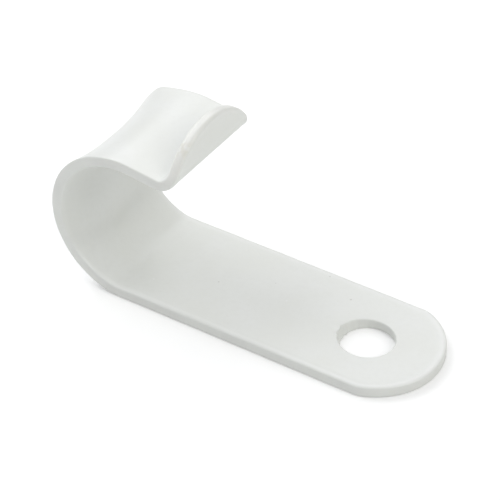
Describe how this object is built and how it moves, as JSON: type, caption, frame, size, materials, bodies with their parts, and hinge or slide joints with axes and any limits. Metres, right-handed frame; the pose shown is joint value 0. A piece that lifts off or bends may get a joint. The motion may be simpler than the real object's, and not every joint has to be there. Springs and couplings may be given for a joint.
{
  "type": "cable clip",
  "caption": "Hook-shaped cable clip folded from one coated strip, with a screw hole in its flat tail and a turned-up tab at the mouth of the hook.",
  "frame": {"origin": "centre of the screw hole on the back face of the tail", "axes": "+X along the tail to its round end, +Y across the strip, +Z out of the surface that the clip is screwed to"},
  "size_m": [0.0353, 0.012, 0.0181],
  "materials": {
    "coating": "soft satin coating, warm white"
  },
  "bodies": {
    "root": {"clip": "coating"}
  },
  "joints": []
}
